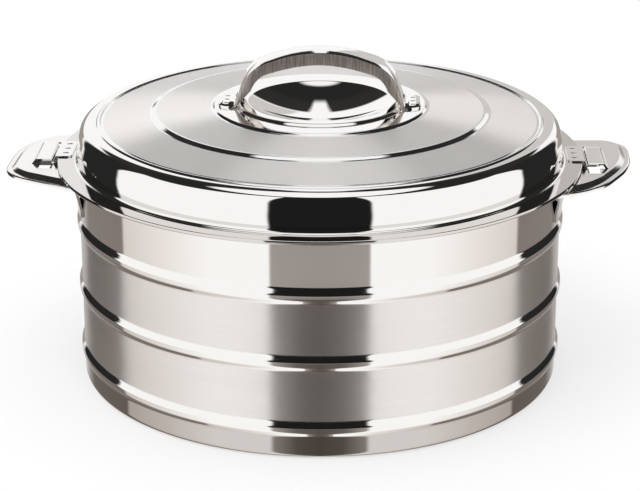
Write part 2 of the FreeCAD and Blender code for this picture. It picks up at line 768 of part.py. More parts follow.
def side_handle(side, turn, plan, radii):
    """Pressed plate: raised panel, sloped step, low shelf with a turned-down edge,
    and the lock pocket pressed up from the panel. Each plate has a trim of its own."""
    body = new_body(f"side_handle_{side}")
    low = f"({SHELF_TOP} - handle_edge_height)"
    hollow = f"({SHELF_TOP} - handle_sheet)"

    def plan_sketch(name, level, depth):
        sketch = new_sketch(body, f"{name}_{side}", "XY_Plane", lift=level)
        return rounded_outline(sketch, inset(plan, depth), radii, depth)

    shelf = pad(
        body, plan_sketch("shelf_plan", low, "0"), f"handle_shelf_{side}", "handle_edge_height"
    )
    round_level_edges(body, shelf, f"shelf_round_{side}", SHELF_TOP, "handle_edge_round")
    panel_plan = plan_sketch("panel_plan", SHELF_TOP, "shelf")
    panel = pad(body, panel_plan, f"handle_panel_{side}", "panel_height", taper="-1 * panel_slope")
    round_level_edges(body, panel, f"panel_round_{side}", PANEL_TOP, "panel_edge_round")
    shelf_hollow = plan_sketch("shelf_hollow_plan", low, "handle_sheet")
    pocket(body, shelf_hollow, f"shelf_hollow_{side}", f"{hollow} - {low}", reverse=True)
    slope_shift = "(shelf + handle_sheet * tan(panel_slope / 2))"
    panel_hollow = plan_sketch("panel_hollow_plan", hollow, slope_shift)
    under_panel = pocket(body, panel_hollow, f"panel_hollow_{side}", "panel_height", reverse=True)
    under_panel.setExpression("TaperAngle", bound("-1 * panel_slope"))
    document.recompute()

    wall = new_sketch(body, f"handle_wall_{side}", "XY_Plane")
    add_circle(wall, "wall_radius + handle_clearance")
    pocket(body, wall, f"handle_wall_cut_{side}", reverse=True)

    stop = "(tab_half_width + pocket_stop_gap)"
    foot_inner = f"({POCKET_FOOT} - handle_sheet)"
    slot_end = f"({foot_inner} - slot_short)"
    slot_near = f"({POCKET_NEAR} - pocket_relief)"
    slot_far = f"({stop} + handle_sheet + pocket_relief)"
    gap = new_sketch(body, f"pocket_opening_{side}", "XY_Plane")
    outline(
        gap,
        [
            (POCKET_INNER, slot_near),
            (slot_end, slot_near),
            (slot_end, POCKET_NEAR),
            (foot_inner, POCKET_NEAR),
            (foot_inner, stop),
            (slot_end, stop),
            (slot_end, slot_far),
            (POCKET_INNER, slot_far),
        ],
    )
    pocket(body, gap, f"pocket_opening_cut_{side}", reverse=True)

    under = f"({PANEL_TOP} - handle_sheet)"
    roof = new_sketch(body, f"pocket_roof_profile_{side}")
    roof.setExpression("AttachmentOffset.Base.z", bound(f"-1 * ({POCKET_NEAR} + {stop}) / 2"))
    outline(
        roof,
        [
            (POCKET_INNER, f"{POCKET_TOP} - handle_sheet"),
            (f"{POCKET_OUTER} - handle_sheet / 2", f"{POCKET_TOP} - handle_sheet"),
            (foot_inner, under),
            (POCKET_FOOT, under),
            (POCKET_FOOT, PANEL_TOP),
            (POCKET_OUTER, POCKET_TOP),
            (POCKET_INNER, POCKET_TOP),
        ],
    )
    pad(body, roof, f"pocket_roof_{side}", f"{stop} - {POCKET_NEAR}", midplane=True)
    end = new_sketch(body, f"pocket_stop_profile_{side}")
    end.setExpression("AttachmentOffset.Base.z", bound(f"-1 * ({stop} + handle_sheet / 2)"))
    outline(
        end,
        [
            (POCKET_INNER, under),
            (POCKET_FOOT, under),
            (POCKET_FOOT, PANEL_TOP),
            (POCKET_OUTER, POCKET_TOP),
            (POCKET_INNER, POCKET_TOP),
        ],
    )
    pad(body, end, f"pocket_stop_{side}", "handle_sheet", midplane=True)
    body.Placement = turned(turn)


def handle_bracket(side, turn, skew):
    """Flared legs welded to the wall, with a ledge under the handle's panel. The pair
    stands a little towards the pot's front."""
    body = new_body(f"handle_bracket_{side}")
    top = f"({PANEL_TOP} - handle_sheet)"
    foot = f"({top} - bracket_drop)"
    weld_top = f"({foot} + bracket_weld_height)"
    flared = "(wall_radius + bracket_flare)"
    reach = f"({flared} + bracket_sheet + bracket_ledge)"
    revolve(
        body,
        f"bracket_leg_{side}",
        [
            ("wall_radius", foot),
            ("wall_radius + bracket_sheet", foot),
            ("wall_radius + bracket_sheet", weld_top),
            (f"{flared} + bracket_sheet", f"{top} - bracket_sheet"),
            (reach, f"{top} - bracket_sheet"),
            (reach, top),
            (flared, top),
            ("wall_radius", weld_top),
        ],
        sweep="bracket_sweep",
    )
    window = new_sketch(body, f"bracket_window_plan_{side}", "YZ_Plane")
    half = "(wall_radius * tan(bracket_window / 2))"
    window_top = f"({top} - bracket_sheet - bracket_window_rail)"
    outline(
        window,
        [
            (f"-1 * {half}", f"{foot} - bracket_sheet"),
            (half, f"{foot} - bracket_sheet"),
            (half, window_top),
            (f"-1 * {half}", window_top),
        ],
    )
    pocket(body, window, f"bracket_window_cut_{side}", reverse=True)
    body.Placement = turned(turn + size(skew))


outer_shell()
inner_bowl()
body_insulation()
base_plate()
base_plug()
lid_shell()
lid_lining()
lid_plug()
lid_insulation()
lid_handle()
SIDES = (
    ("right", 0.0, RIGHT_PLAN, RIGHT_CORNERS, "-1 * bracket_skew"),
    ("left", 180.0, LEFT_PLAN, LEFT_CORNERS, "bracket_skew"),
)
for side, turn, plan, radii, skew in SIDES:
    lock_tab(side, turn)
    side_handle(side, turn, plan, radii)
    handle_bracket(side, turn, skew)

document.recompute()
for item in document.Objects:
    if "Invalid" in item.State or "Error" in item.State:
        raise RuntimeError(f"{item.Label}: {item.State}")
os.makedirs("parts", exist_ok=True)
for body in parts:
    shape = body.Shape
    if shape.isNull() or not shape.isValid():
        raise RuntimeError(f"{body.Label}: no valid shape")
    shape.exportStep(f"parts/{body.Label}.step")
print(f"{len(parts)} pieces written")
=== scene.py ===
import math
import bmesh
import bpy
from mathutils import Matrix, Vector


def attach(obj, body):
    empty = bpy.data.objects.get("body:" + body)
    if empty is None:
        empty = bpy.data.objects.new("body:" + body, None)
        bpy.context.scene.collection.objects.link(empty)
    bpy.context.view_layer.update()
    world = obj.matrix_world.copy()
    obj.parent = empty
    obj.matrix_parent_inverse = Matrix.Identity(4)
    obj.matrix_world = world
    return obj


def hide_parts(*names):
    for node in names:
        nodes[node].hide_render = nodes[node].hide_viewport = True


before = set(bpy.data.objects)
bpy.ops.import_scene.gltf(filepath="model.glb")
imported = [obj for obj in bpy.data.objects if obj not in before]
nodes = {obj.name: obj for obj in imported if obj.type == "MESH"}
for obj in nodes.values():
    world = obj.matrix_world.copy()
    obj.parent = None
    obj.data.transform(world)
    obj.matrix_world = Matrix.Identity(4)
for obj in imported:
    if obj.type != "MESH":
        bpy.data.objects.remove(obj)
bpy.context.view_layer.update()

print("frame loaded:", len(nodes), "nodes")

mm = 0.001
spinSteps = 256
weldDistance = 0.002 * mm
smoothAngle = 34


# modelling helpers, all in edit mode on the active object

def deselectAll():
    if bpy.context.object and bpy.context.object.mode != "OBJECT":
        bpy.ops.object.mode_set(mode="OBJECT")
    bpy.ops.object.select_all(action="DESELECT")


def activate(piece):
    deselectAll()
    piece.select_set(True)
    bpy.context.view_layer.objects.active = piece


def smooth(piece, degrees=smoothAngle):
    activate(piece)
    bpy.ops.object.shade_smooth_by_angle(angle=math.radians(degrees))
    return piece


def weldCorners():
    bpy.ops.mesh.select_all(action="SELECT")
    bpy.ops.mesh.remove_doubles(threshold=weldDistance)


def leaveEdit():
    bpy.ops.mesh.normals_make_consistent(inside=False)
    bpy.ops.object.mode_set(mode="OBJECT")


def report(piece):
    print(piece.name, len(piece.data.polygons), "faces")
    return piece


def roundOff(corners, closed, fineness=9, share=0.49):
    # corners are two measures and a rounding in mm; gives the points of the rounded line,
    # with a holding point just before and after each rounding so that flats shade flat
    hold = 0.3
    points = []
    count = len(corners)
    for index, (r, z, rounding) in enumerate(corners):
        here = Vector((r, z))
        if rounding == 0 or (not closed and index in (0, count - 1)):
            points.append(here)
            continue
        before = Vector(corners[index - 1][:2]) - here
        after = Vector(corners[(index + 1) % count][:2]) - here
        turn = math.pi - before.angle(after)
        reach = min(rounding * math.tan(turn / 2), before.length * share, after.length * share)
        radius = reach / math.tan(turn / 2)
        bisector = (before.normalized() + after.normalized()).normalized()
        centre = here + bisector * (radius / math.cos(turn / 2))
        start = here + before.normalized() * reach
        end = here + after.normalized() * reach
        steps = max(3, math.ceil(math.degrees(turn) / fineness))
        if before.length > reach + 4 * hold:
            points.append(start + before.normalized() * hold)
        first = (start - centre).normalized()
        last = (end - centre).normalized()
        sweep = first.angle(last)
        for step in range(steps + 1):
            part = step / steps
            mixed = first * math.sin((1 - part) * sweep) + last * math.sin(part * sweep)
            points.append(centre + mixed / math.sin(sweep) * radius)
        if after.length > reach + 4 * hold:
            points.append(end + after.normalized() * hold)
    return points


def drawLine(name, points):
    # a plane shrunk to one corner, extruded from point to point; stays in edit mode
    deselectAll()
    bpy.ops.mesh.primitive_plane_add(size=mm)
    piece = bpy.context.object
    piece.name = name
    piece.data.name = name
    bpy.ops.object.mode_set(mode="EDIT")
    bpy.ops.mesh.select_mode(type="VERT")
    bpy.ops.mesh.select_all(action="SELECT")
    bpy.ops.mesh.merge(type="CENTER")
    bpy.ops.transform.translate(value=points[0])
    for here, there in zip(points, points[1:]):
        bpy.ops.mesh.extrude_vertices_move(TRANSFORM_OT_translate={"value": there - here})
    bpy.ops.mesh.select_all(action="SELECT")
    return piece


def spinPiece(name, corners, closed=True, share=0.49):
    # a line of points is drawn, then spun about the pot's axis
    points = [Vector((r, 0, z)) * mm for r, z in roundOff(corners, closed, share=share)]
    piece = drawLine(name, points + points[:1] if closed else points)
    bpy.ops.mesh.spin(steps=spinSteps, angle=math.tau, center=(0, 0, 0), axis=(0, 0, 1))
    weldCorners()
    leaveEdit()
    return report(smooth(piece))


def selectedCorners():
    return [v for v in bmesh.from_edit_mesh(bpy.context.object.data).verts if v.select]


def selectOnly(indices):
    bpy.ops.mesh.select_all(action="DESELECT")
    shape = bmesh.from_edit_mesh(bpy.context.object.data)
    shape.verts.ensure_lookup_table()
    for index in indices:
        shape.verts[index].select_set(True)
    shape.select_flush(True)


def sweepPiece(name, outlines):
    # the first outline is drawn and filled, then extruded from station to station
    piece = drawLine(name, outlines[0])
    bpy.ops.mesh.edge_face_add()
    for before, after in zip(outlines, outlines[1:]):
        bpy.ops.mesh.extrude_region_move(TRANSFORM_OT_translate={"value": (0, 0, 0)})
        ends = [(corner.index, corner.co.copy()) for corner in selectedCorners()]
        order = []
        for here in before:
            nearest = min(ends, key=lambda end: (end[1] - here).length)
            ends.remove(nearest)
            order.append(nearest[0])
        for index, here, there in zip(order, before, after):
            selectOnly([index])
            bpy.ops.transform.translate(value=there - here)
        selectOnly(order)
    weldCorners()
    leaveEdit()
    return report(piece)


def sheetPiece(name, node, bevel, flatAngle=0.3, sharpAngle=40):
    # a copy of a solid's mesh, its corners merged and its sharp edges broken
    piece = bpy.data.objects.new(name, nodes[node].data.copy())
    piece.data.name = name
    bpy.context.scene.collection.objects.link(piece)
    activate(piece)
    bpy.ops.object.mode_set(mode="EDIT")
    weldCorners()
    bpy.ops.mesh.dissolve_limited(angle_limit=math.radians(flatAngle))
    leaveEdit()
    edges = piece.modifiers.new("brokenEdges", "BEVEL")
    edges.width = bevel * mm
    edges.segments = 2
    edges.limit_method = "ANGLE"
    edges.angle_limit = math.radians(sharpAngle)
    bpy.ops.object.modifier_apply(modifier=edges.name)
    return report(piece)


def prism(name, points, travel):
    # a flat outline drawn, filled and pulled along travel
    piece = drawLine(name, points)
    bpy.ops.mesh.edge_face_add()
    bpy.ops.mesh.extrude_region_move(TRANSFORM_OT_translate={"value": travel})
    bpy.ops.mesh.select_all(action="SELECT")
    leaveEdit()
    return piece


def combine(piece, tool, operation):
    activate(piece)
    change = piece.modifiers.new("change", "BOOLEAN")
    change.operation = operation
    change.object = tool
    bpy.ops.object.modifier_apply(modifier=change.name)
    bpy.data.objects.remove(tool)
    return piece


def weldDimples(piece, places, radius, depth):
    # spot welds: shallow round dents pressed into the sheet
    for x, y, z in places:
        deselectAll()
        bpy.ops.mesh.primitive_uv_sphere_add(
            segments=24, ring_count=12, radius=radius * mm, location=(x * mm, y * mm, z * mm),
            scale=(1.0, 1.0, depth / radius),
        )
        combine(piece, bpy.context.object, "DIFFERENCE")
    return piece


def dress(piece, material):
    piece.data.materials.clear()
    piece.data.materials.append(material)


def place(piece, body, material, slotName, *replaced):
    dress(piece, material)
    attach(piece, body)
    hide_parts(*replaced)
    return piece


# materials

class Value:
    # a number that varies over a surface; arithmetic on it adds Math nodes
    def __init__(self, paint, socket):
        self.paint = paint
        self.socket = socket

    def math(self, operation, *others, first=None):
        inputs = [self.socket if first is None else first]
        if first is not None:
            inputs.append(self.socket)
        inputs += [o.socket if isinstance(o, Value) else o for o in others]
        made = self.paint.node("ShaderNodeMath", {"operation": operation}, dict(enumerate(inputs)))
        return Value(self.paint, made.outputs[0])

    def __add__(self, other):
        return self.math("ADD", other)

    __radd__ = __add__

    def __sub__(self, other):
        return self.math("SUBTRACT", other)

    def __rsub__(self, other):
        return self.math("SUBTRACT", first=other)

    def __mul__(self, other):
        return self.math("MULTIPLY", other)

    __rmul__ = __mul__

    def __truediv__(self, other):
        return self.math("DIVIDE", other)

    def __pow__(self, other):
        return self.math("POWER", other)

    def band(self, low, high, soft):
        # 1 between low and high, fading to 0 over soft outside them
        return self.rise(low - soft, low) * (1 - self.rise(high, high + soft))

    def rise(self, low, high, start=0.0, end=1.0):
        made = self.paint.node(
            "ShaderNodeMapRange",
            {"interpolation_type": "SMOOTHSTEP"},
            {"Value": self.socket, "From Min": low, "From Max": high, "To Min": start, "To Max": end},
        )
        return Value(self.paint, made.outputs["Result"])


class Paint:
    def __init__(self, name, tree=None):
        self.material = None
        if tree is None:
            self.material = bpy.data.materials.new(name)
            self.material.use_nodes = True
            tree = self.material.node_tree
        self.tree = tree
        self.tree.nodes.clear()

    def node(self, kind, settings=None, inputs=None):
        made = self.tree.nodes.new(kind)
        for key, value in (settings or {}).items():
            if key == "stops":
                ramp = made.color_ramp.elements
                while len(ramp) < len(value):
                    ramp.new(1.0)
                for element, (position, colour) in zip(ramp, value):
                    element.position = position
                    element.color = colour
            else:
                setattr(made, key, value)
        for key, value in (inputs or {}).items():
            if isinstance(value, Value):
                value = value.socket
            if isinstance(value, bpy.types.NodeSocket):
                self.tree.links.new(value, made.inputs[key])
            else:
                made.inputs[key].default_value = value
        return made

    def value(self, socket):
        return Value(self, socket)

    def place(self):
        # x, y and z of the point in metres, and its vector
        vector = self.node("ShaderNodeTexCoord").outputs["Object"]
        split = self.node("ShaderNodeSeparateXYZ", None, {"Vector": vector})
        return [Value(self, split.outputs[axis]) for axis in "XYZ"] + [vector]

    def noise(self, vector, scale, detail=2.0, roughness=0.5):
        made = self.node(
            "ShaderNodeTexNoise",
            None,
            {"Vector": vector, "Scale": scale, "Detail": detail, "Roughness": roughness},
        )
        return Value(self, made.outputs["Fac"])

    def join(self, x, y, z):
        made = self.node("ShaderNodeCombineXYZ", None, {"X": x, "Y": y, "Z": z})
        return made.outputs["Vector"]

    def mixColour(self, factor, first, second):
        made = self.node(
            "ShaderNodeMix", {"data_type": "RGBA"}, {"Factor": factor, 6: first, 7: second}
        )
        return made.outputs[2]

    def ramp(self, factor, stops):
        stops = [(position, (r, g, b, 1.0)) for position, r, g, b in stops]
        return self.node("ShaderNodeValToRGB", {"stops": stops}, {"Fac": factor}).outputs[0]

    def bump(self, height, distance, strength=1.0):
        made = self.node(
            "ShaderNodeBump", None, {"Height": height, "Distance": distance, "Strength": strength}
        )
        return made.outputs["Normal"]

    def finish(self, shader):
        self.node("ShaderNodeOutputMaterial", None, {"Surface": shader})
        return self.material


steelTint = {
    "polished": (0.93, 0.912, 0.89, 1.0),
    "satin": (0.86, 0.83, 0.805, 1.0),
    "brushed": (0.93, 0.9, 0.88, 1.0),
    "bright": (0.99, 0.975, 0.96, 1.0),
    # painted darker reflection, used on the wall's foot band and the lid's flange
    "paintedDarkReflection": (0.62, 0.585, 0.56, 1.0),
    "pan": (0.78, 0.765, 0.745, 1.0),
    "lines": (0.93, 0.91, 0.89, 1.0),
    # painted reflections in dark and light streaks for the strap's turned-down edges
    "paintedReflectionDark": (0.42, 0.36, 0.325, 1.0),
    "paintedReflectionLight": (0.8, 0.73, 0.68, 1.0),
}


def steelShader(paint, colour, roughness, normal=None, anisotropy=0.0, metallic=1.0):
    inputs = {"Base Color": colour, "Metallic": metallic, "Roughness": roughness}
    if normal is not None:
        inputs["Normal"] = normal
    if anisotropy:
        # the quarter turn lays the brushing round the pot's axis
        inputs["Anisotropic"] = anisotropy
        inputs["Anisotropic Rotation"] = 0.25
    return paint.node("ShaderNodeBsdfPrincipled", None, inputs).outputs["BSDF"]


def mixShader(paint, factor, first, second):
    made = paint.node("ShaderNodeMixShader", None, {0: factor, 1: first, 2: second})
    return made.outputs[0]


def sheetWave(paint, vector, scale, height, strength):
    # the slight unevenness of pressed sheet, which shows in its reflections
    return paint.bump(paint.noise(vector, scale, 1.0), height, strength)


def anyBand(value, ranges, soft):
    # 1 inside any of the ranges, which are in mm
    found = [value.band(low * mm, high * mm, soft * mm) for low, high in ranges]
    return sum(found[1:], found[0])


pressedFinish = {
    "haze": (28.0, 3.0, 0.6), "hazeFrom": (0.45, 0.75), "hazeTint": 0.25, "hazeRoughness": 0.04,
    "roughness": 0.13, "wave": (16.0, 0.0006, 0.35),
}


def pressedSteel():
    s = pressedFinish
    paint = Paint("pressedSteel")
    x, y, z, vector = paint.place()
    haze = paint.noise(vector, *s["haze"]).rise(*s["hazeFrom"])
    colour = paint.mixColour(haze * s["hazeTint"], steelTint["polished"], steelTint["satin"])
    roughness = haze * s["hazeRoughness"] + s["roughness"]
    return paint.finish(steelShader(paint, colour, roughness, sheetWave(paint, vector, *s["wave"])))


# half is the half width at the crown and spread what the legs add to it, in mm
strapFinish = {
    "half": 9.0, "spread": 4.0, "span": 45.2, "edge": (0.5, 0.2), "streakPitch": 0.9,
    "streakAcross": 5.0, "streakAlong": 60.0, "streakBump": (0.00003, 0.5), "edgeRoughness": 0.42,
    "topRoughness": 0.05, "wave": (16.0, 0.0006, 0.35),
}


def strapSteel():
    # polished top; the turned-down edges carry upright streaks, bumped and coloured with painted
    # reflections in dark and light tints
    s = strapFinish
    paint = Paint("strapSteel")
    x, y, z, vector = paint.place()
    half = x * x * (s["spread"] / (s["span"] ** 2 * mm)) + s["half"] * mm
    edge = (y.math("ABSOLUTE") - half).rise(*[-inward * mm for inward in s["edge"]])
    upright = paint.join(x * (1000.0 / s["streakPitch"]), y * s["streakAcross"], z * s["streakAlong"])
    streaks = paint.noise(upright, 1.0, 4.0, 0.6)
    # the streaks' dark and light tints are painted reflections
    edgeReflectionColour = paint.mixColour(streaks.rise(0.3, 0.7), steelTint["paintedReflectionDark"], steelTint["paintedReflectionLight"])
    edgeShader = steelShader(paint, edgeReflectionColour, s["edgeRoughness"], paint.bump(streaks, *s["streakBump"]))
    wave = sheetWave(paint, vector, *s["wave"])
    topShader = steelShader(paint, steelTint["polished"], s["topRoughness"], wave)
    return paint.finish(mixShader(paint, edge, topShader, edgeShader))


wallFinish = {
    "satinBands": ((20.7, 47.2), (56.4, 82.9)),   # heights in mm between the beads
    # the band at the foot is painted darker, a painted dark reflection of the surroundings below
    "footBand": 12.0,
    "footStart": -5.0,
    "satinEdge": 0.8,
    "brushPitch": 0.35,
    "brushAlong": 14.0,
    "lineShare": 0.5,
    "lineBump": (0.00002, 0.6),
    "anisotropy": 0.95,
    "satinRoughness": (0.17, 0.24),
    "broadRoughness": 0.45,
    "broadShare": 0.3,
    "polishRoughness": 0.05,
    "wave": (14.0, 0.0005, 0.3),
}


def wallSteel():
    s = wallFinish
    paint = Paint("wallSteel")
    x, y, z, vector = paint.place()
    satin = anyBand(z, s["satinBands"], s["satinEdge"])
    along = s["brushAlong"]
    around = paint.join(x * along, y * along, z * (1000.0 / s["brushPitch"]))
    lines = paint.noise(around, 1.0, 4.0, 0.7)
    broad = paint.noise(paint.join(x * 3.0, y * 3.0, z * 90.0), 1.0, 2.0)
    lineMask = lines.rise(0.3, 0.7) * s["lineShare"]
    satinColour = paint.mixColour(lineMask, steelTint["satin"], steelTint["lines"])
    satinRoughness = broad.rise(0.3, 0.7, *s["satinRoughness"])
    satinNormal = paint.bump(lines, *s["lineBump"])
    satinShader = steelShader(paint, satinColour, satinRoughness, satinNormal, s["anisotropy"])
    broadShader = steelShader(paint, satinColour, s["broadRoughness"])
    brushed = mixShader(paint, s["broadShare"], satinShader, broadShader)
    # the polished steel of the foot band is painted darker: a painted dark reflection
    foot = anyBand(z, ((s["footStart"], s["footBand"]),), s["satinEdge"])
    polishColour = paint.mixColour(foot, steelTint["polished"], steelTint["paintedDarkReflection"])
    wave = sheetWave(paint, vector, *s["wave"])
    polishShader = steelShader(paint, polishColour, s["polishRoughness"], wave)
    return paint.finish(mixShader(paint, satin, polishShader, brushed))


lidFinish = {
    "satinRings": ((59.0, 87.2), (91.8, 115.6)),   # radii in mm
    "ringEdge": 0.7,
    "ringFrom": (135.0, 136.0),   # heights in mm that the rings start from
    "brushPitch": 0.35,
    "brushAlong": 2.0,
    "lineShare": 0.6,
    "lineBump": (0.00002, 0.5),
    "anisotropy": 1.0,
    "satinRoughness": (0.3, 0.38),
    "broadRoughness": 0.7,
    "broadShare": 0.4,
    "broadMetal": 0.25,
    # radii in mm from which the flange is painted darker, a painted dark reflection
    "flangeFrom": (131.5, 132.5),
    "flangeShare": 0.6,
    "polishRoughness": 0.03,
    "wave": (11.0, 0.0005, 0.3),
}


def lidSteel():
    s = lidFinish
    paint = Paint("lidSteel")
    x, y, z, vector = paint.place()
    reach = (x * x + y * y) ** 0.5
    satin = anyBand(reach, s["satinRings"], s["ringEdge"])
    satin = satin * z.rise(*[height * mm for height in s["ringFrom"]])
    along = s["brushAlong"]
    around = paint.join(reach * (1000.0 / s["brushPitch"]), x / reach * along, y / reach * along)
    lines = paint.noise(around, 1.0, 4.0, 0.7)
    lineMask = lines.rise(0.3, 0.7) * s["lineShare"]
    satinColour = paint.mixColour(lineMask, steelTint["brushed"], steelTint["bright"])
    satinRoughness = lines.rise(0.3, 0.7, *s["satinRoughness"])
    satinNormal = paint.bump(lines, *s["lineBump"])
    satinShader = steelShader(paint, satinColour, satinRoughness, satinNormal, s["anisotropy"])
    broadShader = steelShader(paint, steelTint["satin"], s["broadRoughness"], metallic=s["broadMetal"])
    brushed = mixShader(paint, s["broadShare"], satinShader, broadShader)
    # the flange's polished steel is painted darker here: a painted dark reflection
    flange = reach.rise(*[radius * mm for radius in s["flangeFrom"]])
    polishColour = paint.mixColour(flange * s["flangeShare"], steelTint["polished"], steelTint["paintedDarkReflection"])
    wave = sheetWave(paint, vector, *s["wave"])
    polishShader = steelShader(paint, polishColour, s["polishRoughness"], wave)
    return paint.finish(mixShader(paint, satin, polishShader, brushed))


panFinish = {
    "markScale": 900.0, "markAlong": 4.0, "markBump": (0.00002, 0.5), "cloudScale": 20.0,
    "cloudShare": 0.5, "roughness": (0.2, 0.3), "axisGap": 1e-8,
}


def panSteel():
    # the food side: plain drawn sheet with faint turning marks
    s = panFinish
    paint = Paint("panSteel")
    x, y, z, vector = paint.place()
    reach = (x * x + y * y + s["axisGap"]) ** 0.5
    around = paint.join(reach * s["markScale"], z * s["markScale"], x * s["markAlong"])
    marks = paint.noise(around, 1.0, 3.0, 0.6)
    cloud = paint.noise(vector, s["cloudScale"], 3.0)
    cloudMask = cloud.rise(0.35, 0.7) * s["cloudShare"]
    colour = paint.mixColour(cloudMask, steelTint["pan"], steelTint["polished"])
    normal = paint.bump(marks, *s["markBump"])
    return paint.finish(steelShader(paint, colour, marks.rise(0.3, 0.7, *s["roughness"]), normal))


def plainShader(paint, colour, roughness, normal):
    inputs = {"Base Color": colour, "Roughness": roughness, "Normal": normal}
    return paint.node("ShaderNodeBsdfPrincipled", None, inputs).outputs["BSDF"]


plastic = {
    "grainScale": 2500.0, "dark": (0.018, 0.018, 0.019, 1.0), "light": (0.035, 0.035, 0.036, 1.0),
    "roughness": (0.4, 0.6), "bump": (0.00005, 0.5),
}


def mouldedPlastic():
    s = plastic
    paint = Paint("plugPlastic")
    x, y, z, vector = paint.place()
    grain = paint.noise(vector, s["grainScale"], 2.0)
    colour = paint.mixColour(grain, s["dark"], s["light"])
    roughness = grain.rise(0.2, 0.8, *s["roughness"])
    return paint.finish(plainShader(paint, colour, roughness, paint.bump(grain, *s["bump"])))


foam = {
    "cellScale": 900.0, "cloudScale": 40.0, "dark": (0.78, 0.68, 0.45, 1.0),
    "light": (0.86, 0.78, 0.58, 1.0), "roughness": 0.85, "bump": (0.0003, 0.6),
}


def rigidFoam():
    s = foam
    paint = Paint("rigidFoam")
    x, y, z, vector = paint.place()
    cells = paint.node("ShaderNodeTexVoronoi", None, {"Vector": vector, "Scale": s["cellScale"]})
    cell = paint.value(cells.outputs["Distance"])
    colour = paint.mixColour(paint.noise(vector, s["cloudScale"], 3.0), s["dark"], s["light"])
    return paint.finish(plainShader(paint, colour, s["roughness"], paint.bump(cell, *s["bump"])))


steelWall = wallSteel()
steelLid = lidSteel()
steelPan = panSteel()
steelPressed = pressedSteel()
steelStrap = strapSteel()
plasticPlug = mouldedPlastic()
foamRigid = rigidFoam()
print("materials made")

# pot wall: cylinder with three pressed beads, foot turned in, rim turned out
wall = {
    "radius": 130.0, "sheet": 0.8, "top": 118.2, "footRound": 3.0,
    "beads": (16.1, 51.8, 87.5), "beadHalf": 4.2, "beadCrown": 1.4, "beadRise": 1.6,
    "beadRoot": 2.0, "beadRound": 1.8,
    "footInner": 121.0, "lipHeight": 3.0, "lipInner": 112.0, "flange": 138.2,
}


def beadCorners(s, radius, rise, upward):
    found = []
    for middle in s["beads"]:
        found += [
            (radius, middle - s["beadHalf"], s["beadRoot"]),
            (radius + rise, middle - s["beadCrown"], s["beadRound"]),
            (radius + rise, middle + s["beadCrown"], s["beadRound"]),
            (radius, middle + s["beadHalf"], s["beadRoot"]),
        ]
    return found if upward else list(reversed(found))


def makeWall():
    s = wall
    inner = s["radius"] - s["sheet"]
    corners = [(s["footInner"], 0.0, 0.4), (s["radius"], 0.0, s["footRound"])]
    corners += beadCorners(s, s["radius"], s["beadRise"], True)
    corners += [
        (s["radius"], s["top"] - s["sheet"], 0.5),
        (s["flange"], s["top"] - s["sheet"], 0.0),
        (s["flange"], s["top"], 0.0),
        (inner, s["top"], 0.3),
    ]
    corners += beadCorners(s, inner, s["beadRise"], False)
    corners += [
        (inner, s["sheet"], s["footRound"] - s["sheet"]),
        (s["footInner"] + s["sheet"], s["sheet"], 0.3),
        (s["footInner"] + s["sheet"], s["lipHeight"] + s["sheet"], 0.3),
        (s["lipInner"], s["lipHeight"] + s["sheet"], 0.3),
        (s["lipInner"], s["lipHeight"], 0.3),
        (s["footInner"], s["lipHeight"], 0.3),
    ]
    return place(spinPiece("outerWall", corners), "casserole", steelWall, "satin_steel", "outer_shell")


makeWall()

# food bowl with its hemmed rim
bowl = {
    "radius": 116.0, "sheet": 0.8, "floor": 16.0, "corner": 14.0,
    "rim": 139.0, "top": 119.0, "hem": 1.4,
}


def makeBowl():
    s = bowl
    inner = s["radius"] - s["sheet"]
    low = s["floor"] - s["sheet"]
    corners = [
        (0.0, low, 0.0),
        (s["radius"], low, s["corner"]),
        (s["radius"], s["top"] - s["sheet"], 0.3),
        (s["rim"] - s["sheet"], s["top"] - s["sheet"], 0.0),
        (s["rim"] - s["sheet"], s["top"] - s["hem"], 0.2),
        (s["rim"], s["top"] - s["hem"], 0.35),
        (s["rim"], s["top"], 0.8),
        (inner, s["top"], 0.8),
        (inner, s["floor"], s["corner"] - s["sheet"]),
        (0.0, s["floor"], 0.0),
    ]
    return place(spinPiece("foodBowl", corners, False), "casserole", steelPan, "bowl_steel", "inner_bowl")


makeBowl()

# closing disc of the foot and its plug
disc = {"hole": 7.0, "edge": 120.5, "low": 2.2, "sheet": 0.8, "dish": 1.0, "dishRadius": 88.0}


def makeDisc():
    s = disc
    top = s["low"] + s["sheet"]
    slope = s["dishRadius"] - s["dish"]
    corners = [
        (s["hole"], s["low"] + s["dish"], 0.2), (slope, s["low"] + s["dish"], 0.8),
        (s["dishRadius"], s["low"], 0.8), (s["edge"], s["low"], 0.3), (s["edge"], top, 0.3),
        (s["dishRadius"], top, 0.8), (slope, top + s["dish"], 0.8), (s["hole"], top + s["dish"], 0.2),
    ]
    return place(spinPiece("footDisc", corners), "casserole", steelPan, "satin_steel", "base_plate")


makeDisc()


plugs = {
    "footPlug": {
        "head": 9.5, "shank": 7.0, "low": 2.0, "seat": 3.2, "top": 4.0, "dish": 0.35,
        "body": "casserole", "node": "base_plug",
    },
    "lidPlug": {
        "head": 8.5, "shank": 6.0, "low": 109.8, "seat": 111.0, "top": 111.7, "dish": 0.35,
        "body": "lid", "node": "lid_plug",
    },
}


def makePlug(name):
    s = plugs[name]
    head, shank, low, dish = s["head"], s["shank"], s["low"], s["low"] + s["dish"]
    corners = [
        (0.0, dish, 0.0), (head * 0.45, dish, 0.3), (head * 0.5, low, 0.2), (head - 0.6, low, 0.5),
        (head, s["seat"], 0.25), (shank, s["seat"], 0.0), (shank, s["top"], 0.2), (0.0, s["top"], 0.0),
    ]
    return place(spinPiece(name, corners, False), s["body"], plasticPlug, "plug_plastic", s["node"])


for plugName in plugs:
    makePlug(plugName)

